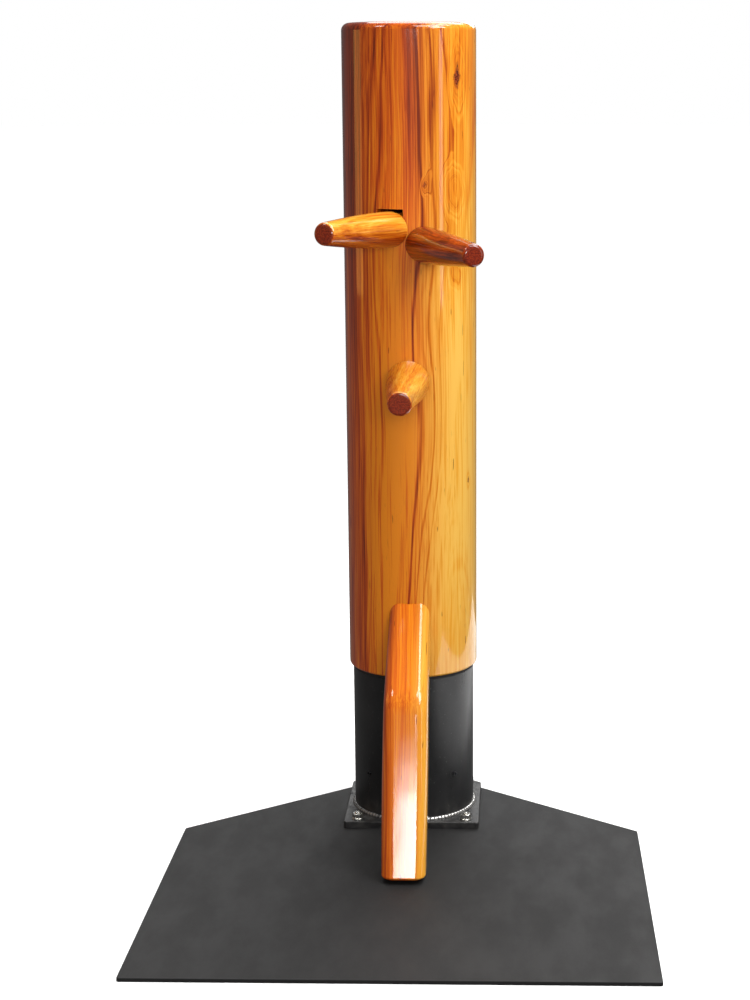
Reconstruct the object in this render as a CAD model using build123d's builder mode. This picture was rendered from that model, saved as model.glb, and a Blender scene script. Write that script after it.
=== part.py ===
"""Free-standing wooden wing dummy: a one-piece log in a steel barrel on a trapezoid floor plate.

Millimetres. The origin is on the log's axis at floor level, +Z is up and the front, where the
three arms and the leg point, faces -Y. Left and right are as seen by someone facing the front.

Each arm and the leg is one piece of wood: a round or squared limb outside the log and a square
tenon that runs through a mortise and out of the back, where a tapered wedge locks it. A tenon
is lower than its mortise by a play, so the limb rests on the mortise's lower front lip and can
rock up a little, which gives the rattle that the dummy is known for.
"""

import os
from math import asin, atan2, cos, radians, sin, sqrt, tan

from build123d import *

os.makedirs("parts", exist_ok=True)

UP = Vector(0, 0, 1)
FROM_BASE = (Align.CENTER, Align.CENTER, Align.MIN)

# ---- log -------------------------------------------------------------------------------------
LOG_R = 116.0
LOG_BOTTOM_Z = 288.0
LOG_TOP_Z = 1425.0
LOG_TOP_ROUND = 13.0
LOG_BOTTOM_ROUND = 5.0
SPIGOT_R = 102.5
SPIGOT_BOTTOM_Z = 40.0
SPIGOT_CHAMFER = 4.0

# ---- steel base ------------------------------------------------------------------------------
PLATE_T = 6.0
PLATE_FRONT_Y = -733.0
PLATE_SIDE_Y = -122.0
PLATE_BACK_Y = 119.0
PLATE_FRONT_HALF = 412.0
PLATE_SIDE_HALF = 408.0
PLATE_BACK_HALF = 95.0
PLATE_CORNER_R = 4.0

FLANGE_WIDTH = 244.0
FLANGE_DEPTH = 234.0
FLANGE_SETBACK = 3.0  # from the floor plate's slanted edges, which trim its back corners
FLANGE_T = 12.0
FLANGE_TOP_Z = PLATE_T + FLANGE_T
FLANGE_CORNER_R = 5.0

BARREL_R = 109.5
BARREL_WALL = 6.0
GASKET_T = 4.8
BARREL_TOP_Z = LOG_BOTTOM_Z - GASKET_T
WELD_LEG = 5.0
WELD_BULGE = 0.8

# ---- fasteners -------------------------------------------------------------------------------
BOLT_SPACING = 196.0
BOLT_R = 5.0
BOLT_HOLE_R = 5.5
BOLT_HEAD_R = 9.5
BOLT_RECESS = 0.3  # of the head's flat above the floor
BOLT_SOCKET_AF = 6.0
BOLT_SOCKET_DEPTH = 3.0
WASHER_R = 10.5
WASHER_HOLE_R = 5.3
WASHER_T = 2.0
NUT_AF = 17.0
NUT_H = 8.0
NUT_BEVEL = radians(60)
BOLT_BEYOND_NUT = 3.5
NUT_Z = FLANGE_TOP_Z + WASHER_T
BOLT_TOP_Z = NUT_Z + NUT_H + BOLT_BEYOND_NUT
THREAD_GAP = 0.1

SET_SCREW_R = 4.0
SET_SCREW_Z = 97.0
SET_SCREW_TIP = SPIGOT_R + 0.1
SET_SCREW_END = 112.0
SET_SCREW_SOCKET_AF = 4.0
SET_SCREW_SOCKET_DEPTH = 4.0

# ---- limbs -----------------------------------------------------------------------------------
SHOULDER_GAP = 2.2  # between a limb's hollowed shoulder and the log, so that it can rock
SEAT_GAP = 0.3  # between a resting tenon and the mortise's floor and ceiling
LIP_S = 114.0  # how far out from the log's centre the mortise's lower lip is
TENON_ROOT_S = 125.0
TENON_TAIL_S = -148.0
TENON_ROUND = 1.5
ARM_TIP_S = 352.0

WEDGE_WIDTH = 20.0
WEDGE_TOP_T = 15.0
WEDGE_BOTTOM_T = 9.0
WEDGE_ABOVE = 34.0
WEDGE_BELOW = 22.0
WEDGE_FRONT_S = -118.0  # clear of the log's back, so that the tail can drop as the limb rocks
WEDGE_SLOT_GAP = 0.2
WEDGE_CHAMFER = 1.0

# Radius of each arm along s, from inside the shoulder to the tip, and its end rounding.
UPPER_ARM_CURVE = [(88, 31.0), (170, 29.8), (255, 25.6), (ARM_TIP_S, 18.4)]
MIDDLE_ARM_CURVE = [(88, 38.6), (170, 34.6), (255, 28.0), (ARM_TIP_S, 19.8)]
UPPER_TIP_ROUND = 6.5
MIDDLE_TIP_ROUND = 4.5

# The leg is sawn to its side outline and then to its front outline, and its edges are rounded.
# From the side, the thigh falls away from the log and the shin slopes on to the front.
THIGH_FALL = radians(40.5)
THIGH_TOP_Z = 427.5
THIGH_START_S = 50.0
KNEE_FRONT_S = 268.0
FOOT_FRONT_S = 376.0
FOOT_Z = 13.0
THIGH_DEPTH = 64.0
KNEE_DEPTH = 72.0
FOOT_DEPTH = 80.0
KNEE_FRONT_R = 100.0
KNEE_BACK_R = 55.0
LEG_HALF_WIDTHS = [(500.0, 32.0), (300.0, 38.0), (150.0, 38.9), (0.0, 37.4)]  # height, half width
LEG_CORNER_R = 21.0
FOOT_ROUND = 4.0


class Limb:
    """Where one limb goes through the log, and the planes that its pieces are drawn on.

    Along the limb, s is measured outwards from the log's centre and h upwards from the axis.
    """

    def __init__(self, name, side_deg, offset, axis_z, pitch_deg, tenon, widths, play, blank_r):
        side = radians(side_deg)
        self.name = name
        self.blank_r = blank_r
        self.offset = offset
        self.axis_z = axis_z
        self.pitch = radians(pitch_deg)
        self.tenon_low, self.tenon_high = tenon
        self.tenon_w, self.mortise_w = widths
        self.out = Vector(sin(side), -cos(side), 0)
        self.hinge = self.out.cross(UP)
        self.play = play
        self.rock = asin(play / (LIP_S + sqrt(LOG_R**2 - offset**2)))

    def point(self, s, h):
        """The point at s and h of the limb when it is level."""
        return self.hinge * self.offset + self.out * s + UP * (self.axis_z + h)

    def plane(self, pitch):
        """The limb's upright plane, x outwards, once it has turned by pitch about the lip."""
        back, rise = -LIP_S, -self.tenon_low
        origin = self.point(LIP_S, self.tenon_low)
        origin += self.out * (back * cos(pitch) - rise * sin(pitch))
        origin += UP * (back * sin(pitch) + rise * cos(pitch))
        return Plane(origin, x_dir=self.out * cos(pitch) + UP * sin(pitch), z_dir=self.hinge)

    def rest_plane(self):
        return self.plane(self.pitch)

    def mortise_plane(self):
        return self.plane(self.pitch + self.rock)


UPPER_LEFT = Limb("upper_left", -22.5, -16.0, 1081.0, 2.1, (-2, 28), (42, 46), 6.0, 30.5)
UPPER_RIGHT = Limb("upper_right", 22.5, 16.0, 1056.0, 0.0, (-20, 6), (42, 46), 6.0, 30.5)
MIDDLE = Limb("middle", 0.0, 0.0, 820.0, 0.0, (-18, 18), (38, 44), 6.0, 37.0)
LEG = Limb("leg", 0.0, 0.0, 381.0, 0.0, (-25, 23), (46, 52), 6.0, 37.0)
LIMBS = [UPPER_LEFT, UPPER_RIGHT, MIDDLE, LEG]


def save(part, name):
    """Labels a finished piece and writes it as one STEP file."""
    part.label = name
    export_step(part, f"parts/{name}.step")


# ---- base plate, flange and barrel -----------------------------------------------------------
with BuildSketch() as plate_outline:
    with BuildLine():
        Polyline(
            (PLATE_FRONT_HALF, PLATE_FRONT_Y),
            (PLATE_SIDE_HALF, PLATE_SIDE_Y),
            (PLATE_BACK_HALF, PLATE_BACK_Y),
            (-PLATE_BACK_HALF, PLATE_BACK_Y),
            (-PLATE_SIDE_HALF, PLATE_SIDE_Y),
            (-PLATE_FRONT_HALF, PLATE_FRONT_Y),
            close=True,
        )
    make_face()

with BuildPart() as base_plate:
    add(plate_outline.sketch)
    extrude(amount=PLATE_T)
    fillet(base_plate.edges().filter_by(Axis.Z), PLATE_CORNER_R)
    chamfer(base_plate.faces().sort_by(Axis.Z)[-1].edges(), 0.6)
    with Locations(Plane.XY.rotated((180, 0, 0))):
        with GridLocations(BOLT_SPACING, BOLT_SPACING, 2, 2):
            CounterSinkHole(
                BOLT_HOLE_R, BOLT_HEAD_R + BOLT_HOLE_R - BOLT_R, PLATE_T, counter_sink_angle=90
            )
save(base_plate.part, "base_plate")

with BuildPart() as flange_plate:
    with BuildSketch(Plane.XY.offset(PLATE_T)) as flange_outline:
        add(plate_outline.sketch)
        offset(amount=-FLANGE_SETBACK, kind=Kind.INTERSECTION)
        Rectangle(FLANGE_WIDTH, FLANGE_DEPTH, mode=Mode.INTERSECT)
        fillet(flange_outline.vertices(), FLANGE_CORNER_R)
        with GridLocations(BOLT_SPACING, BOLT_SPACING, 2, 2):
            Circle(BOLT_HOLE_R, mode=Mode.SUBTRACT)
    extrude(amount=FLANGE_T)
    chamfer(flange_plate.faces().sort_by(Axis.Z)[-1].outer_wire().edges(), 1.0)
save(flange_plate.part, "flange_plate")

with BuildPart() as barrel_tube:
    with BuildSketch(Plane.XY.offset(FLANGE_TOP_Z)):
        Circle(BARREL_R)
        Circle(BARREL_R - BARREL_WALL, mode=Mode.SUBTRACT)
    extrude(amount=BARREL_TOP_Z - FLANGE_TOP_Z)
    chamfer(barrel_tube.edges().group_by(Axis.Z)[-1], 0.8)
    with Locations((0, 0, SET_SCREW_Z)):
        with PolarLocations(0, 4, start_angle=45):
            Cylinder(
                SET_SCREW_R + THREAD_GAP, 2 * BARREL_R, rotation=(0, 90, 0), align=FROM_BASE,
                mode=Mode.SUBTRACT,
            )
save(barrel_tube.part, "barrel_tube")

with BuildPart() as barrel_weld:
    with BuildSketch(Plane.XZ):
        with BuildLine():
            corner = (BARREL_R, FLANGE_TOP_Z)
            toe = (BARREL_R + WELD_LEG, FLANGE_TOP_Z)
            top = (BARREL_R, FLANGE_TOP_Z + WELD_LEG)
            Polyline(top, corner, toe)
            SagittaArc(toe, top, WELD_BULGE)
        make_face()
    revolve(axis=Axis.Z)
save(barrel_weld.part, "barrel_weld")

with BuildPart() as rim_gasket:
    with BuildSketch(Plane.XY.offset(BARREL_TOP_Z)):
        Circle(BARREL_R)
        Circle(BARREL_R - BARREL_WALL, mode=Mode.SUBTRACT)
    extrude(amount=GASKET_T)
save(rim_gasket.part, "rim_gasket")

# ---- fasteners, one drawn at the origin and then set in place ----------------------------------
with BuildPart() as bolt:
    with BuildSketch(Plane.XZ):
        with BuildLine():
            head_top = BOLT_RECESS + BOLT_HEAD_R - BOLT_R
            Polyline(
                (0, BOLT_RECESS),
                (BOLT_HEAD_R, BOLT_RECESS),
                (BOLT_R, head_top),
                (BOLT_R, BOLT_TOP_Z - 1),
                (BOLT_R - 1, BOLT_TOP_Z),
                (0, BOLT_TOP_Z),
                close=True,
            )
        make_face()
    revolve(axis=Axis.Z)
    with BuildSketch(Plane.XY.offset(BOLT_RECESS)):
        RegularPolygon(BOLT_SOCKET_AF / 2, 6, major_radius=False)
    extrude(amount=BOLT_SOCKET_DEPTH, mode=Mode.SUBTRACT)

with BuildPart() as washer:
    with BuildSketch(Plane.XY.offset(FLANGE_TOP_Z)):
        Circle(WASHER_R)
        Circle(WASHER_HOLE_R, mode=Mode.SUBTRACT)
    extrude(amount=WASHER_T)
    chamfer(washer.faces().sort_by(Axis.Z)[-1].outer_wire().edges(), 0.4)

with BuildPart() as nut:
    with BuildSketch(Plane.XY.offset(NUT_Z)):
        RegularPolygon(NUT_AF / 2, 6, major_radius=False)
    extrude(amount=NUT_H)
    with Locations((0, 0, NUT_Z)):
        top_r = NUT_AF / 2 - 0.3
        Cone(top_r + NUT_H * tan(NUT_BEVEL), top_r, NUT_H, align=FROM_BASE, mode=Mode.INTERSECT)
        Cylinder(BOLT_R + THREAD_GAP, NUT_H, align=FROM_BASE, mode=Mode.SUBTRACT)

for fastener, name in ((bolt, "flange_bolts"), (washer, "flange_washers"), (nut, "flange_nuts")):
    with BuildPart() as fasteners:
        with GridLocations(BOLT_SPACING, BOLT_SPACING, 2, 2):
            add(fastener.part)
    save(fasteners.part, name)

with BuildPart() as set_screw:
    with BuildSketch(Plane((SET_SCREW_TIP, 0, SET_SCREW_Z), z_dir=(1, 0, 0))):
        Circle(SET_SCREW_R)
    extrude(amount=SET_SCREW_END - SET_SCREW_TIP)
    with BuildSketch(Plane((SET_SCREW_END, 0, SET_SCREW_Z), z_dir=(1, 0, 0))):
        RegularPolygon(SET_SCREW_SOCKET_AF / 2, 6, major_radius=False)
    extrude(amount=-SET_SCREW_SOCKET_DEPTH, mode=Mode.SUBTRACT)

with BuildPart() as set_screws:
    with PolarLocations(0, 4, start_angle=45):
        add(set_screw.part)
save(set_screws.part, "set_screws")

# ---- log -------------------------------------------------------------------------------------
with BuildPart() as trunk:
    with BuildSketch(Plane.XY.offset(LOG_BOTTOM_Z)):
        Circle(LOG_R)
    extrude(amount=LOG_TOP_Z - LOG_BOTTOM_Z)
    fillet(trunk.edges().group_by(Axis.Z)[-1], LOG_TOP_ROUND)
    fillet(trunk.edges().group_by(Axis.Z)[0], LOG_BOTTOM_ROUND)
    with BuildSketch(Plane.XY.offset(SPIGOT_BOTTOM_Z)):
        Circle(SPIGOT_R)
    extrude(amount=LOG_BOTTOM_Z - SPIGOT_BOTTOM_Z)
    chamfer(trunk.edges().group_by(Axis.Z)[0], SPIGOT_CHAMFER)
    for limb in LIMBS:
        floor = limb.tenon_low - SEAT_GAP
        ceiling = limb.tenon_high + limb.play + SEAT_GAP
        with BuildSketch(limb.mortise_plane()):
            with Locations((0, (floor + ceiling) / 2)):
                Rectangle(4 * LOG_R, ceiling - floor)
        extrude(amount=limb.mortise_w / 2, both=True, mode=Mode.SUBTRACT)
save(trunk.part, "trunk")


# ---- limbs and their wedges ------------------------------------------------------------------
def wedge_outline(limb, gap=0.0, reach=0.0):
    """Corners of the wedge in the limb's plane; with a gap and a reach, of its slot."""
    top = limb.tenon_high + WEDGE_ABOVE
    bottom = limb.tenon_low - WEDGE_BELOW
    slope = (WEDGE_TOP_T - WEDGE_BOTTOM_T) / (top - bottom)
    front = WEDGE_FRONT_S + gap
    back_at_top = WEDGE_FRONT_S - WEDGE_TOP_T - gap - slope * reach
    back_at_bottom = WEDGE_FRONT_S - WEDGE_BOTTOM_T - gap + slope * reach
    return [
        (front, bottom - reach),
        (front, top + reach),
        (back_at_top, top + reach),
        (back_at_bottom, bottom - reach),
    ]


def make_tenon(limb):
    """The square tenon from inside the limb to its tail, with the slot for the wedge.

    Its corners stay within the round blank that the limb is made of.
    """
    plane = limb.rest_plane()
    across = Plane(plane.from_local_coords((TENON_TAIL_S, 0, 0)), plane.z_dir, plane.x_dir)
    with BuildPart() as tenon:
        with BuildSketch(across) as section:
            Circle(limb.blank_r)
            with Locations((0, -(limb.tenon_high + limb.tenon_low) / 2)):
                Rectangle(
                    limb.tenon_w, limb.tenon_high - limb.tenon_low, mode=Mode.INTERSECT
                )
            fillet(section.vertices(), TENON_ROUND)
        extrude(amount=TENON_ROOT_S - TENON_TAIL_S)
        with BuildSketch(plane):
            with BuildLine():
                Polyline(*wedge_outline(limb, gap=WEDGE_SLOT_GAP, reach=10), close=True)
            make_face()
        extrude(amount=WEDGE_WIDTH / 2 + WEDGE_SLOT_GAP, both=True, mode=Mode.SUBTRACT)
    return tenon.part


def make_arm(limb, curve, tip_round):
    """A turned arm: a swelling taper with a rounded tip, and its tenon."""
    plane = limb.rest_plane()
    axis = Axis(plane.origin, plane.x_dir)
    tenon = make_tenon(limb)
    with BuildPart() as arm:
        with BuildSketch(plane):
            with BuildLine():
                Polyline(curve[-1], (curve[-1][0], 0), (curve[0][0], 0), curve[0])
                Spline(*curve)
            make_face()
        revolve(axis=axis)
        fillet(arm.faces().sort_by(axis)[-1].edges(), tip_round)
        with Locations((0, 0, limb.axis_z)):
            Cylinder(LOG_R + SHOULDER_GAP, 4 * LOG_R, mode=Mode.SUBTRACT)
        add(tenon)
    save(arm.part, f"{limb.name}_arm")


def leg_outline():
    """Corners of the leg from the side, with the knee's front and back corners first."""
    front_z = THIGH_TOP_Z - (KNEE_FRONT_S - LOG_R) * tan(THIGH_FALL)
    shin_fall = atan2(front_z - FOOT_Z, FOOT_FRONT_S - KNEE_FRONT_S)
    knee_fall = (THIGH_FALL + shin_fall) / 2
    inside = KNEE_DEPTH / cos(knee_fall - THIGH_FALL)
    knee_front = (KNEE_FRONT_S, front_z)
    knee_back = (KNEE_FRONT_S - inside * sin(knee_fall), front_z - inside * cos(knee_fall))
    start_z = THIGH_TOP_Z + (LOG_R - THIGH_START_S) * tan(THIGH_FALL)
    return [
        knee_front,
        knee_back,
        (THIGH_START_S, start_z - THIGH_DEPTH / cos(THIGH_FALL)),
        (THIGH_START_S, start_z),
        (FOOT_FRONT_S, FOOT_Z),
        (FOOT_FRONT_S - FOOT_DEPTH, FOOT_Z),
    ]


def make_leg():
    """The bent leg: thigh, knee and shin in one smooth body, and its tenon."""
    knee_front, knee_back, under, over, toe, heel = leg_outline()
    tenon = make_tenon(LEG)
    with BuildPart() as leg:
        with BuildSketch(Plane((0, 0, 0), x_dir=LEG.out, z_dir=LEG.hinge)) as side:
            with BuildLine():
                Polyline(over, knee_front, toe, heel, knee_back, under, close=True)
            make_face()
            fillet(side.vertices().sort_by_distance(knee_front)[0], KNEE_FRONT_R)
            fillet(side.vertices().sort_by_distance(knee_back)[0], KNEE_BACK_R)
        extrude(amount=LOG_R, both=True)
        with BuildSketch(Plane.XZ):
            with BuildLine():
                right = [(half, z) for z, half in LEG_HALF_WIDTHS]
                left = [(-half, z) for half, z in right]
                Spline(*right)
                Spline(*left)
                Line(right[0], left[0])
                Line(right[-1], left[-1])
            make_face()
        extrude(amount=4 * LOG_R, mode=Mode.INTERSECT)
        for flank in (leg.faces().sort_by(Axis.X)[0], leg.faces().sort_by(Axis.X)[-1]):
            long_edges = flank.edges().sort_by(Axis.Z)[1:].sort_by(Axis.Y)[:-1]
            fillet(long_edges, LEG_CORNER_R)
        fillet(leg.faces().sort_by(Axis.Z)[0].edges(), FOOT_ROUND)
        with Locations((0, 0, LEG.axis_z)):
            Cylinder(LOG_R + SHOULDER_GAP, 4 * LOG_R, mode=Mode.SUBTRACT)
        add(tenon)
    save(leg.part, "leg")


def make_wedge(limb):
    """The tapered key that locks a limb behind the log."""
    plane = limb.rest_plane()
    with BuildPart() as wedge:
        with BuildSketch(plane):
            with BuildLine():
                Polyline(*wedge_outline(limb), close=True)
            make_face()
        extrude(amount=WEDGE_WIDTH / 2, both=True)
        chamfer(wedge.edges(), WEDGE_CHAMFER)
    save(wedge.part, f"{limb.name}_wedge")


make_arm(UPPER_LEFT, UPPER_ARM_CURVE, UPPER_TIP_ROUND)
make_arm(UPPER_RIGHT, UPPER_ARM_CURVE, UPPER_TIP_ROUND)
make_arm(MIDDLE, MIDDLE_ARM_CURVE, MIDDLE_TIP_ROUND)
make_leg()
for limb in LIMBS:
    make_wedge(limb)
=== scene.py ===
"""Looks of the wooden wing dummy: lacquered wood, painted steel and a plain pale studio."""

from math import cos, pi, radians, sin

import bmesh
import bpy
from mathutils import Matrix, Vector, noise


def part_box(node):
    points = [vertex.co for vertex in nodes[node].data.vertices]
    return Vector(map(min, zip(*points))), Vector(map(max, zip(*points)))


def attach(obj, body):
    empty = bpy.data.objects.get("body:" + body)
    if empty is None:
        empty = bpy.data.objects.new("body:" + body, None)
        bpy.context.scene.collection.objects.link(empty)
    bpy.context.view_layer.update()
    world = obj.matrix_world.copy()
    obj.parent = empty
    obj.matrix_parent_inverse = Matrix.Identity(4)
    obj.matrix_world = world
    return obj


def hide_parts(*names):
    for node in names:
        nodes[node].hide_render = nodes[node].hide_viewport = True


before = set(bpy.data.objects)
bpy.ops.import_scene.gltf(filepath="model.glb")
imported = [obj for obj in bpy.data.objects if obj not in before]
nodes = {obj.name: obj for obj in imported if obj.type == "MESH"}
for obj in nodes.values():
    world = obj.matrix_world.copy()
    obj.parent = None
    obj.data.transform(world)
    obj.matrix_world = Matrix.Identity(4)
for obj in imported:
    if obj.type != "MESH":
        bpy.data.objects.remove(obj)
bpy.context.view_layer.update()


# ---- node helpers ------------------------------------------------------------------------------
class Shader:
    """A material's node tree, with short calls for the nodes used below."""

    def __init__(self, name):
        self.material = bpy.data.materials.new(name)
        self.material.use_nodes = True
        self.tree = self.material.node_tree
        self.bsdf = self.tree.nodes["Principled BSDF"]
        coords = self.tree.nodes.new("ShaderNodeTexCoord")
        self.place = coords.outputs["Object"]
        self.normal = coords.outputs["Normal"]

    def set(self, **values):
        """Sets or links inputs of the surface shader; a name's spaces are underscores."""
        for key, value in values.items():
            self.put(self.bsdf.inputs[key.replace("_", " ")], value)

    def put(self, socket, value):
        if isinstance(value, bpy.types.NodeSocket):
            self.tree.links.new(value, socket)
        else:
            socket.default_value = value

    def node(self, kind, inputs, **props):
        made = self.tree.nodes.new("ShaderNode" + kind)
        for key, value in props.items():
            setattr(made, key, value)
        for key, value in inputs.items():
            self.put(made.inputs[key], value)
        return made

    def math(self, operation, a, b=0.0):
        return self.node("Math", {0: a, 1: b}, operation=operation).outputs[0]

    def add(self, *terms):
        total = terms[0]
        for term in terms[1:]:
            total = self.math("ADD", total, term)
        return total

    def times(self, a, b):
        return self.math("MULTIPLY", a, b)

    def vector(self, operation, a, b=(0.0, 0.0, 0.0)):
        made = self.node("VectorMath", {0: a, 1: b}, operation=operation)
        return made.outputs["Value" if operation in ("DOT_PRODUCT", "LENGTH") else "Vector"]

    def join(self, x, y, z):
        return self.node("CombineXYZ", {0: x, 1: y, 2: z}).outputs[0]

    def split(self, v):
        return self.node("SeparateXYZ", {0: v}).outputs

    def dot(self, v, direction):
        return self.vector("DOT_PRODUCT", v, tuple(direction))

    def stretch(self, v, scale):
        return self.vector("MULTIPLY", v, scale)

    def noise(self, v, scale=1.0, detail=2.0, rough=0.5, twist=0.0, color=False):
        inputs = {
            "Vector": v, "Scale": scale, "Detail": detail, "Roughness": rough, "Distortion": twist,
        }
        made = self.node("TexNoise", inputs, noise_dimensions="3D")
        return made.outputs["Color" if color else "Fac"]

    def drift(self, v, scale, reach):
        """A vector that wanders smoothly, by up to half of reach each way."""
        cloud = self.noise(self.stretch(v, scale), color=True)
        return self.stretch(self.vector("SUBTRACT", cloud, (0.5, 0.5, 0.5)), reach)

    def step(self, value, low, high, to_low=0.0, to_high=1.0):
        """A smooth step from to_low to to_high as value goes from low to high."""
        inputs = {
            "Value": value, "From Min": low, "From Max": high, "To Min": to_low, "To Max": to_high,
        }
        return self.node("MapRange", inputs, interpolation_type="SMOOTHSTEP").outputs[0]

    def ramp(self, value, stops):
        made = self.node("ValToRGB", {0: value})
        elements = made.color_ramp.elements
        while len(elements) < len(stops):
            elements.new(0.5)
        for element, (place, color) in zip(elements, stops):
            element.position = place
            element.color = (*color, 1.0)
        return made.outputs[0]

    def mix(self, factor, a, b):
        """Two colours mixed: the colour sockets of a Mix node are 6 and 7, and its result is 2."""
        made = self.node("Mix", {"Factor": factor}, data_type="RGBA")
        for socket, value in ((made.inputs[6], a), (made.inputs[7], b)):
            self.put(socket, (*value, 1.0) if isinstance(value, tuple) else value)
        return made.outputs[2]

    def bump(self, height, distance, strength):
        inputs = {"Height": height, "Distance": distance, "Strength": strength}
        return self.node("Bump", inputs).outputs[0]


def give(node_name, material):
    nodes[node_name].data.materials.clear()
    nodes[node_name].data.materials.append(material)


# ---- wood --------------------------------------------------------------------------------------
HONEY = (0.92, 0.52, 0.090)
GOLD = (0.84, 0.365, 0.028)
AMBER = (0.76, 0.225, 0.008)
ORANGE = (0.62, 0.118, 0.004)
RUST = (0.40, 0.048, 0.002)
UMBER = (0.13, 0.014, 0.002)
KNOT = (0.070, 0.007, 0.004)
KNOT_HEART = (0.30, 0.045, 0.010)
END_DARK = (0.11, 0.008, 0.002)
END_PALE = (0.26, 0.024, 0.004)

# Where a wood's tone runs from pale to dark, for heartwood and for yellow sapwood, which is laid on
# the lit side of each piece and so is partly painted highlight.
HEARTWOOD = [(0.08, AMBER), (0.30, ORANGE), (0.55, RUST), (0.90, UMBER)]
SAPWOOD_AND_LIT_SIDE = [(0.05, HONEY), (0.34, GOLD), (0.62, AMBER), (0.95, RUST)]

MIDDLE_TONE = 0.36
LACQUER_IOR = 1.55
KNEE_BLEND = 0.004  # half of the grain's turn at a bend, in metres


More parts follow.
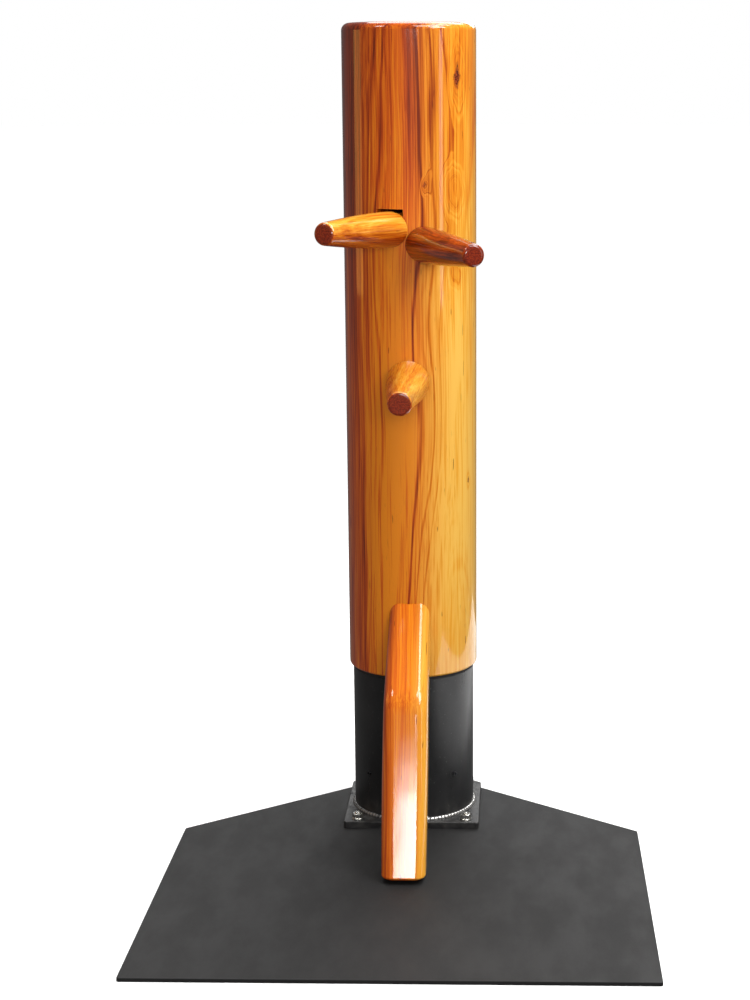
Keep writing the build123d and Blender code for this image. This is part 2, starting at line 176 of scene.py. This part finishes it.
def wood(
    name, along, across, origin, pith, rings, gold_and_lit_side, depth, end_grain, knots=(), darks=(), red_and_shaded_side=None,
    red_and_shade_depth=0.22, bend=None, lean=None, grain_depth=1.0, ripple=0.0002,
):
    """Lacquered wood whose grain runs along a direction, with growth rings around the pith.

    rings are per metre of the rings' radius. gold_and_lit_side is (direction, low, high): how far
    along a direction the wood turns from orange heartwood to yellow sapwood, a side that is partly
    painted highlight where the lamps fall, and red_and_shaded_side is the same for heartwood that
    is darker by red_and_shade_depth, partly painted shade on the side away from the lamps. depth
    darkens all of it, and lean is (low, high, amount) of how the wood darkens from one height to
    another. grain_depth is the contrast of the figure.
    A knot is (place, width, height, strength, darkness), and darks are (radius, thickness,
    strength) of single dark rings. bend is a second direction of grain, past the plane through
    origin that halves the angle. end_grain is how far the colour of cut ends replaces the rest,
    and ripple is the height of the lacquer's waves.
    """
    s = Shader(name)
    along = Vector(along).normalized()
    across = Vector(across).normalized()
    third = along.cross(across)
    place = s.vector("SUBTRACT", s.place, tuple(origin))
    u = s.dot(place, across)
    v = s.dot(place, third)
    w = s.dot(place, along)
    if bend is not None:
        turned = Vector(bend).normalized()
        w = s.dot(place, (along + turned).normalized())
        past = s.step(w, -KNEE_BLEND, KNEE_BLEND)
        v = s.add(
            s.times(v, s.math("SUBTRACT", 1.0, past)),
            s.times(s.dot(place, turned.cross(across)), past),
        )
    grain = s.join(u, v, w)

    # Growth rings: distance from a wandering pith, pushed aside round each knot.
    wander = s.drift(grain, (5.0, 5.0, 1.1), (0.050, 0.050, 0.0))
    wobble = s.drift(grain, (30.0, 30.0, 3.0), (0.0050, 0.0050, 0.0))
    moved = s.vector("ADD", s.vector("ADD", grain, wander), wobble)
    flat = s.stretch(s.vector("SUBTRACT", moved, (*pith, 0.0)), (1.0, 1.0, 0.0))
    ring = s.vector("LENGTH", flat)
    dark_knots = 0.0
    swirl = s.drift(grain, (32.0, 32.0, 18.0), (0.020, 0.020, 0.045))
    for centre, width, height, strength, darkness in knots:
        off = s.vector("SUBTRACT", s.vector("ADD", s.place, swirl), centre)
        off = s.stretch(off, (1.0 / width, 1.0 / width, 1.0 / height))
        reach = s.vector("LENGTH", off)
        ring = s.add(ring, s.step(reach, 0.0, 1.0, strength, 0.0))
        if darkness:
            x, y, z = s.split(off)
            spindle = s.add(s.vector("LENGTH", s.join(x, y, 0.0)), s.math("ABSOLUTE", z))
            ragged = s.times(s.noise(s.place, 260.0), 0.34)
            spot = s.step(s.add(spindle, ragged), 0.34, 0.62, darkness, 0.0)
            dark_knots = s.math("MAXIMUM", dark_knots, spot)

    count = s.times(ring, rings)
    tracks = s.join(count, s.times(w, 0.9), 0.0)
    broad = s.step(s.noise(tracks, 0.34, detail=1.0), 0.30, 0.70)
    fine = s.step(s.noise(tracks, 1.6, detail=3.0, rough=0.65), 0.28, 0.72)
    edge = s.math("FRACT", count)
    line = s.times(s.math("POWER", edge, 4.0), s.step(edge, 1.0, 0.92))
    line = s.times(line, s.step(s.noise(tracks, 0.7, detail=1.0), 0.40, 0.62))
    fibre = s.noise(s.stretch(grain, (560.0, 560.0, 7.0)), detail=3.0, rough=0.65)
    streak = s.noise(s.stretch(moved, (330.0, 330.0, 2.6)), detail=3.0, rough=0.6)
    patch = s.noise(s.stretch(grain, (14.0, 14.0, 3.5)), detail=3.0)

    figure = s.add(
        s.times(broad, 0.28),
        s.times(fine, 0.28),
        s.times(line, 0.26),
        s.times(s.step(streak, 0.36, 0.66), 0.32),
        s.times(s.step(fibre, 0.28, 0.72), 0.26),
        s.times(patch, 0.20),
        -0.70,
    )
    tone = s.add(s.times(figure, grain_depth), depth + MIDDLE_TONE)
    if lean is not None:
        low, high, amount = lean
        tone = s.add(tone, s.step(s.split(s.place)[2], low, high, -amount, amount))
    for radius, thickness, strength in darks:
        away = s.math("ABSOLUTE", s.math("SUBTRACT", ring, radius))
        tone = s.add(tone, s.step(away, 0.0, thickness, strength, 0.0))
    # Painted shade in part: the darker reddish band is laid on the side turned away from the lamps.
    if red_and_shaded_side is not None:
        direction, low, high = red_and_shaded_side
        tone = s.add(tone, s.step(s.dot(s.place, direction), low, high, 0.0, red_and_shade_depth))
    # Painted highlight in part: the yellow sapwood is laid on the side the lamps light.
    direction, low, high = gold_and_lit_side
    side = s.dot(s.vector("ADD", s.place, s.stretch(wander, (0.5, 0.5, 0.0))), direction)
    color = s.mix(s.step(side, low, high), s.ramp(tone, HEARTWOOD), s.ramp(tone, SAPWOOD_AND_LIT_SIDE))

    # Short dark pores, and a few longer flecks.
    pore = s.noise(s.stretch(grain, (1100.0, 1100.0, 42.0)), detail=1.0)
    pore = s.times(s.step(pore, 0.66, 0.76), s.step(patch, 0.35, 0.65))
    fleck = s.noise(s.stretch(grain, (260.0, 260.0, 26.0)), detail=1.0)
    fleck = s.times(s.step(fleck, 0.74, 0.80), 0.75)
    color = s.mix(s.times(pore, 0.35), color, UMBER)
    color = s.mix(fleck, color, UMBER)
    if knots:
        core = s.step(s.noise(s.place, 330.0, detail=1.0), 0.45, 0.60)
        color = s.mix(dark_knots, color, s.mix(core, KNOT, KNOT_HEART))
    facing = s.math("ABSOLUTE", s.dot(s.normal, along))
    pores = s.noise(s.stretch(grain, (420.0, 420.0, 60.0)))
    ends = s.mix(s.step(pores, 0.35, 0.65), END_DARK, END_PALE)
    color = s.mix(s.times(s.step(facing, 0.60, 0.90), end_grain), color, ends)

    # The wood's own surface, under a clear coat that lies in slow waves.
    height = s.add(s.times(fibre, 0.5), s.times(pore, -1.0), s.times(line, -0.4))
    skin = s.noise(s.stretch(s.place, (16.0, 16.0, 5.0)))
    peel = s.noise(s.place, 170.0, detail=1.0)
    s.set(
        Base_Color=color,
        Roughness=s.step(fibre, 0.2, 0.8, 0.36, 0.46),
        IOR=1.40,
        Specular_IOR_Level=0.15,
        Coat_Weight=1.0,
        Coat_Roughness=0.06,
        Coat_IOR=LACQUER_IOR,
        Normal=s.bump(height, 0.00012, 0.5),
        Coat_Normal=s.bump(s.add(skin, s.times(peel, 0.02)), ripple, 0.5),
    )
    return s.material


LOG_KNOTS = (
    ((0.0865, -0.0776, 1.329), 0.026, 0.090, 0.018, 0.97),
    ((0.0340, -0.1105, 1.157), 0.014, 0.022, 0.010, 0.75),
    ((0.0790, -0.0850, 1.145), 0.034, 0.066, 0.021, 0.0),
    ((0.0810, -0.0830, 1.008), 0.024, 0.040, 0.014, 0.0),
    ((0.1020, -0.0550, 0.632), 0.010, 0.026, 0.008, 0.9),
    ((-0.0700, 0.0920, 0.950), 0.030, 0.060, 0.022, 0.9),
    ((-0.1100, -0.0350, 0.560), 0.014, 0.030, 0.010, 0.5),
)
LOG_DARK_RINGS = (
    (0.1525, 0.0011, 0.55),
    (0.1572, 0.0008, 0.40),
    (0.1618, 0.0007, 0.30),
    (0.1380, 0.0012, 0.35),
)
# The log's yellow right side is sapwood and partly painted highlight where the key lamp falls; its
# darker reddish left edge is partly painted shade.
give(
    "trunk",
    wood(
        "log_wood", along=(0, 0, 1), across=(1, 0, 0), origin=(0, 0, 0), pith=(-0.046, 0.030),
        rings=135.0, gold_and_lit_side=((0.94, -0.34, 0.0), 0.036, 0.112), depth=-0.01, end_grain=0.35,
        knots=LOG_KNOTS, darks=LOG_DARK_RINGS, red_and_shaded_side=((-1.0, 0.0, 0.0), 0.050, 0.112),
        red_and_shade_depth=0.34, lean=(0.72, 1.40, 0.20), ripple=0.0008,
    ),
)


def arm_wood(name, side, pitch, pith, gold_and_lit_side, depth):
    """An arm's wood: gold_and_lit_side is how far up and to the right the yellow side starts; that
    side is partly painted highlight where the lamps fall, and the darker underside partly painted
    shade.
    """
    out = Vector((sin(side) * cos(pitch), -cos(side) * cos(pitch), sin(pitch)))
    across = out.cross(Vector((0, 0, 1))).normalized()
    low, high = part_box(name)
    centre = (Vector(low) + Vector(high)) / 2
    # Partly painted highlight: the yellow side is turned up and to the right, towards the lamps.
    gold_and_lit_direction = (-across * 0.45 + across.cross(out) * 0.9).normalized()
    start = gold_and_lit_direction.dot(centre) + gold_and_lit_side
    return wood(
        name + "_wood", along=out, across=across, origin=centre, pith=pith, rings=190.0,
        gold_and_lit_side=(tuple(gold_and_lit_direction), start, start + 0.020), depth=depth, end_grain=0.96,
    )


# The upper right arm's large depth and later yellow side are partly redder heartwood and partly
# painted shade, as its seen side faces away from the key lamp.
for arm, side, pitch, pith, gold_and_lit_side, depth in (
    ("upper_left_arm", -22.5, 2.1, (0.050, 0.020), 0.000, 0.16),
    ("upper_right_arm", 22.5, 0.0, (-0.040, 0.035), 0.060, 0.42),
    ("middle_arm", 0.0, 0.0, (0.045, -0.030), 0.004, 0.14),
):
    give(arm, arm_wood(arm, radians(side), radians(pitch), pith, gold_and_lit_side, depth))


def falling(degrees):
    """The direction that points to the front and falls by an angle."""
    return Vector((0, -cos(radians(degrees)), -sin(radians(degrees))))


KNEE = (0, -0.246, 0.273)
LEG_KNOTS = (
    ((-0.034, -0.190, 0.330), 0.012, 0.016, 0.008, 0.9),
    ((0.030, -0.372, 0.070), 0.008, 0.012, 0.006, 0.6),
)
# The leg's yellow right flank is partly painted highlight from the key lamp, and its darker reddish
# left flank partly painted shade.
give(
    "leg",
    wood(
        "leg_wood", along=falling(40), bend=falling(69.2), across=(1, 0, 0), origin=KNEE,
        pith=(0.060, 0.050), rings=120.0, gold_and_lit_side=((0.9, 0.0, 0.0), 0.004, 0.030), depth=-0.10,
        end_grain=0.5, knots=LEG_KNOTS, red_and_shaded_side=((-1.0, 0.0, 0.0), 0.018, 0.038), grain_depth=0.62,
    ),
)


def wedge_wood():
    """Planed hardwood with an oil finish: paler and duller than the lacquered pieces."""
    s = Shader("wedge_wood")
    fibre = s.noise(s.stretch(s.place, (500.0, 500.0, 14.0)), detail=3.0, rough=0.6)
    streak = s.noise(s.stretch(s.place, (120.0, 120.0, 4.0)))
    tone = s.add(s.times(fibre, 0.5), s.times(streak, 0.6))
    s.set(
        Base_Color=s.ramp(tone, [(0.25, (0.40, 0.20, 0.07)), (0.75, (0.15, 0.055, 0.018))]),
        Roughness=s.step(fibre, 0.2, 0.8, 0.42, 0.60),
        Normal=s.bump(fibre, 0.0002, 0.6),
    )
    return s.material


wedge = wedge_wood()
for name in ("upper_left_wedge", "upper_right_wedge", "middle_wedge", "leg_wedge"):
    give(name, wedge)


# ---- steel, paint and rubber ---------------------------------------------------------------------
def barrel_paint():
    """Satin black paint on pipe: slight unevenness, upright rubs, specks, and dust at the foot."""
    s = Shader("barrel_paint")
    cloud = s.noise(s.place, 9.0, detail=4.0, rough=0.6)
    rubs = s.noise(s.stretch(s.place, (22.0, 22.0, 3.0)), detail=5.0, rough=0.65)
    foot = s.step(s.split(s.place)[2], 0.060, 0.016)
    dust = s.times(foot, s.step(s.noise(s.place, 60.0, detail=3.0), 0.35, 0.70))
    specks = s.step(s.noise(s.place, 420.0, detail=0.0), 0.80, 0.84)
    color = s.mix(s.step(cloud, 0.35, 0.7), (0.0095, 0.0095, 0.0100), (0.0180, 0.0180, 0.0185))
    color = s.mix(s.times(dust, 0.30), color, (0.075, 0.070, 0.062))
    color = s.mix(s.times(specks, 0.45), color, (0.16, 0.16, 0.16))
    rough = s.add(s.step(rubs, 0.35, 0.75, 0.27, 0.40), s.times(dust, 0.20))
    peel = s.noise(s.place, 260.0)
    wave = s.noise(s.stretch(s.place, (14.0, 14.0, 4.0)), detail=1.0)
    s.set(
        Base_Color=color, Roughness=rough, IOR=1.5,
        Normal=s.bump(s.add(s.times(peel, 0.03), wave), 0.0007, 0.6),
    )
    return s.material


def plate_paint():
    """Matt dark grey paint on steel plate, with faint scuffs and smudges."""
    s = Shader("plate_paint")
    cloud = s.noise(s.place, 3.2, detail=4.0, rough=0.55)
    smudge = s.noise(s.stretch(s.place, (16.0, 7.0, 9.0)), detail=4.0, rough=0.6)
    grit = s.noise(s.place, 900.0, detail=1.0)
    scuff = s.noise(s.stretch(s.place, (8.0, 170.0, 60.0)), detail=3.0, rough=0.7, twist=0.6)
    scuff = s.times(s.step(scuff, 0.66, 0.76), s.step(cloud, 0.42, 0.62))
    color = s.mix(s.step(cloud, 0.3, 0.7), (0.0145, 0.0143, 0.0143), (0.0180, 0.0177, 0.0177))
    color = s.mix(s.times(s.step(smudge, 0.55, 0.80), 0.35), color, (0.017, 0.017, 0.017))
    color = s.mix(s.times(scuff, 0.25), color, (0.09, 0.088, 0.086))
    color = s.mix(s.times(s.step(grit, 0.62, 0.78), 0.25), color, (0.07, 0.07, 0.07))
    s.set(
        Base_Color=color,
        Roughness=s.step(smudge, 0.3, 0.7, 0.58, 0.70),
        IOR=1.4,
        Specular_IOR_Level=0.2,
        Normal=s.bump(s.add(grit, s.times(cloud, 3.0)), 0.0002, 0.5),
    )
    return s.material


RIPPLES = 100  # of the weld bead round the barrel


def weld_paint():
    """Black paint left between the ripples of the weld, rubbed bright on their crests; fewer bright
    crests towards the left, as painted shade.
    """
    s = Shader("weld_paint")
    x, y, _ = s.split(s.place)
    turn = s.math("FRACT", s.times(s.math("ARCTAN2", y, x), RIPPLES / (2 * pi)))
    crest = s.times(s.step(turn, 0.02, 0.30), s.step(turn, 0.98, 0.80))
    grain = s.noise(s.place, 650.0, detail=3.0)
    wear_and_painted_shade = s.times(crest, s.step(s.noise(s.place, 140.0), 0.30, 0.48))
    # Painted shade: the bright crests fade out towards the left, away from the lamps.
    wear_and_painted_shade = s.times(wear_and_painted_shade, s.step(x, -0.07, 0.02, 0.25, 1.0))
    color = s.mix(wear_and_painted_shade, (0.02, 0.02, 0.021), (0.72, 0.70, 0.67))
    s.set(
        Base_Color=color, Metallic=wear_and_painted_shade, Roughness=s.step(grain, 0.3, 0.7, 0.20, 0.34),
        IOR=1.5, Normal=s.bump(grain, 0.0002, 0.5),
    )
    return s.material


def zinc():
    """Bright zinc plate with a slight warm and cool play and fine turning marks."""
    s = Shader("bolt_zinc")
    cloud = s.noise(s.place, 140.0)
    marks = s.noise(s.stretch(s.place, (300.0, 300.0, 3000.0)))
    plays = [(0.3, (0.62, 0.62, 0.60)), (0.55, (0.74, 0.72, 0.66)), (0.8, (0.60, 0.63, 0.68))]
    s.set(
        Base_Color=s.ramp(cloud, plays), Metallic=1.0,
        Roughness=s.step(marks, 0.3, 0.7, 0.20, 0.34), Normal=s.bump(marks, 0.0001, 0.4),
    )
    return s.material


def black_oxide():
    """Blackened steel, a little uneven."""
    s = Shader("screw_steel")
    cloud = s.noise(s.place, 500.0, detail=3.0)
    s.set(
        Base_Color=s.mix(cloud, (0.05, 0.05, 0.055), (0.16, 0.16, 0.17)), Metallic=1.0,
        Roughness=s.step(cloud, 0.3, 0.7, 0.30, 0.45), Normal=s.bump(cloud, 0.0001, 0.4),
    )
    return s.material


def rubber():
    """Black rubber with a faint grey bloom."""
    s = Shader("gasket_rubber")
    grit = s.noise(s.place, 800.0)
    bloom = s.step(s.noise(s.place, 25.0, detail=3.0), 0.45, 0.75)
    s.set(
        Base_Color=s.mix(bloom, (0.010, 0.010, 0.010), (0.022, 0.021, 0.020)),
        Roughness=s.step(grit, 0.3, 0.7, 0.62, 0.78), Normal=s.bump(grit, 0.0002, 0.5),
    )
    return s.material


black = barrel_paint()
bright = zinc()
give("barrel_tube", black)
give("flange_plate", black)
give("base_plate", plate_paint())
give("rim_gasket", rubber())
give("set_screws", black_oxide())
for name in ("flange_bolts", "flange_washers", "flange_nuts"):
    give(name, bright)


# ---- weld: the smooth ring becomes a rippled bead -----------------------------------------------
PER_RIPPLE = 12  # points along each ripple
PROFILE = 9  # points across the bead
SINK_SIDE = 0.0006  # how far the bead goes into the barrel
SINK_FOOT = 0.0003  # how far the bead goes into the flange
BEAD_SIZE = 0.92  # of the ring's leg, which leaves room for the crests


def new_piece(name, mesh_builder, material):
    mesh = bpy.data.meshes.new(name)
    form = bmesh.new()
    mesh_builder(form)
    form.to_mesh(mesh)
    form.free()
    mesh.shade_smooth()
    mesh.materials.append(material)
    piece = bpy.data.objects.new(name, mesh)
    bpy.context.scene.collection.objects.link(piece)
    return piece


def bead(form):
    """A fillet bead laid in overlapping ripples round the barrel's foot."""
    low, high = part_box("barrel_weld")
    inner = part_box("barrel_tube")[1][0] - SINK_SIDE
    foot = low[2] - SINK_FOOT
    leg = (high[0] - inner) * BEAD_SIZE
    count = RIPPLES * PER_RIPPLE
    rows = []
    for i in range(count):
        turn = 2 * pi * i / count
        phase = (i % PER_RIPPLE) / PER_RIPPLE
        lift = 0.80 + 0.36 * sin(pi * phase) ** 0.5
        lift *= 1 + 0.10 * noise.noise(Vector((cos(turn) * 9, sin(turn) * 9, 3.1)))
        row = []
        for j in range(PROFILE):
            slope = pi / 2 * j / (PROFILE - 1)
            bulge = 1 + 0.42 * sin(2 * slope) * lift
            reach = leg * (0.62 + 0.38 * bulge) * (0.9 + 0.1 * lift)
            r = inner + reach * cos(slope)
            z = foot + reach * sin(slope)
            row.append(form.verts.new((r * cos(turn), r * sin(turn), z)))
        row.append(form.verts.new((inner * cos(turn), inner * sin(turn), foot)))
        rows.append(row)
    for i in range(count):
        a, b = rows[i], rows[(i + 1) % count]
        for j, corner in enumerate(a):
            k = (j + 1) % len(a)
            form.faces.new((corner, b[j], b[k], a[k]))
    bmesh.ops.recalc_face_normals(form, faces=form.faces)


weld = new_piece("weld_bead", bead, weld_paint())
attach(weld, "base")
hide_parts("barrel_weld")


# ---- studio --------------------------------------------------------------------------------------
FLOOR_RADIUS = 60.0
FLOOR_SIDES = 96


def pale_floor():
    s = Shader("studio_floor")
    cloud = s.noise(s.place, 1.5, detail=3.0)
    s.set(Base_Color=s.mix(cloud, (0.90, 0.90, 0.90), (0.93, 0.93, 0.93)), Roughness=0.8)
    return s.material


def disc(form):
    turns = [2 * pi * i / FLOOR_SIDES for i in range(FLOOR_SIDES)]
    rim = [(FLOOR_RADIUS * cos(turn), FLOOR_RADIUS * sin(turn), 0.0) for turn in turns]
    form.faces.new([form.verts.new(corner) for corner in rim])


floor = new_piece("studio_floor", disc, pale_floor())
floor.visible_diffuse = False
floor.visible_glossy = False


def card(form):
    """A white sheet on the floor to the right, which only shows as a reflection."""
    left, right, front, back = 0.45, 1.15, -0.8, 1.2
    corners = [(left, front), (right, front), (right, back), (left, back)]
    form.faces.new([form.verts.new((x, y, 0.001)) for x, y in corners])


reflector = new_piece("side_card", card, pale_floor())
reflector.visible_camera = False
reflector.visible_diffuse = False
reflector.visible_shadow = False


def aimed(place, target):
    """The turn that points a lamp at a target."""
    return (Vector(target) - Vector(place)).to_track_quat("-Z", "Y").to_euler()


def softbox(name, place, target, size, power, color=(1.0, 1.0, 1.0)):
    light = bpy.data.lights.new(name, "AREA")
    light.shape = "RECTANGLE"
    light.size, light.size_y = size
    light.energy = power
    light.color = color
    lamp = bpy.data.objects.new(name, light)
    lamp.location = place
    lamp.rotation_euler = aimed(place, target)
    lamp.visible_camera = False
    bpy.context.scene.collection.objects.link(lamp)
    return lamp


def around(azimuth, elevation, distance, height=0.9):
    """A place round the object: azimuth from the front towards its right, in degrees."""
    turn, rise = radians(azimuth), radians(elevation)
    flat = distance * cos(rise)
    return (flat * sin(turn), -flat * cos(turn), height + distance * sin(rise))


def glow(radiance, size):
    """The power of a softbox of a size that shines with a radiance."""
    return pi * radiance * size[0] * size[1]


MIDDLE = (0.0, 0.0, 0.9)
for name, spot, size, radiance in (
    ("key", around(56, 36, 3.2), (1.3, 1.1), 12.0),
    ("bank", around(40, 54, 3.1), (1.7, 0.8), 9.0),
    ("key_high", around(84, 60, 3.0), (1.3, 0.9), 8.0),
    ("left_high", around(-55, 48, 3.0), (0.6, 0.6), 11.0),
    ("back", around(165, 20, 3.4, 1.1), (1.2, 0.6), 7.0),
):
    softbox(name, spot, MIDDLE, size, glow(radiance, size))

# Two upright strips, level, beside the log: a pale line on its right and a warm one on its left.
strip, size = around(57.7, 2, 3.0, 0.95), (0.36, 0.85)
softbox("strip_right", strip, (0.0, 0.0, strip[2]), size, glow(2.6, size))
strip, warm = around(-94, 2, 2.3, 1.05), (1.0, 0.45, 0.10)
softbox("strip_left", strip, (0.0, 0.0, 1.05), (0.70, 0.80), 3.6, warm)

# A low fill in front that isn't reflected.
fill = softbox("fill", around(-8, 8, 1.7, 0.45), (0.0, 0.0, 0.55), (1.6, 1.0), 6.0)
fill.visible_glossy = False

# A window in front, fading upwards, whose reflection is the white band down the shin.
WINDOW_X, WINDOW_Y, WINDOW_WIDTH = 0.78, -5.4, 2.24
for name, low, high, radiance in (
    ("window_low", 1.64, 2.10, 21.0),
    ("window_middle", 2.10, 2.24, 8.0),
    ("window_high", 2.24, 2.36, 2.5),
):
    middle, size = (low + high) / 2, (WINDOW_WIDTH, high - low)
    pane = (WINDOW_X, WINDOW_Y, middle)
    softbox(name, pane, (WINDOW_X, 0.0, middle), size, glow(radiance, size))

sun = bpy.data.lights.new("overhead", "SUN")
sun.energy = 3.6
sun.angle = radians(55)
lamp = bpy.data.objects.new("overhead", sun)
lamp.rotation_euler = aimed(around(170, 58, 1.0, 0.0), (0, 0, 0))
bpy.context.scene.collection.objects.link(lamp)

# The air is white to the camera and gives the object only a little light.
AIR_LIGHT = 0.12
world = bpy.data.worlds.new("studio_air")
bpy.context.scene.world = world
world.use_nodes = True
air = world.node_tree
seen = air.nodes.new("ShaderNodeLightPath").outputs["Is Camera Ray"]
strength = air.nodes.new("ShaderNodeMapRange")
air.links.new(seen, strength.inputs["Value"])
strength.inputs["To Min"].default_value = AIR_LIGHT
strength.inputs["To Max"].default_value = 1.0
air.links.new(strength.outputs[0], air.nodes["Background"].inputs["Strength"])
air.nodes["Background"].inputs["Color"].default_value = (1.0, 1.0, 1.0, 1.0)

CAMERA_FALL = radians(12.0)
CAMERA_TURN = 0.0187
camera_data = bpy.data.cameras.new("camera")
camera_data.lens = 71.0
camera_data.sensor_width = 36.0
camera_data.shift_x = -0.108
camera_data.clip_end = 60.0
camera = bpy.data.objects.new("camera", camera_data)
camera.location = (0.1927, -3.4779, 1.3281)
camera.rotation_euler = (pi / 2 - CAMERA_FALL, 0.0, CAMERA_TURN)
bpy.context.scene.collection.objects.link(camera)
bpy.context.scene.camera = camera
bpy.context.scene.view_settings.view_transform = "Standard"
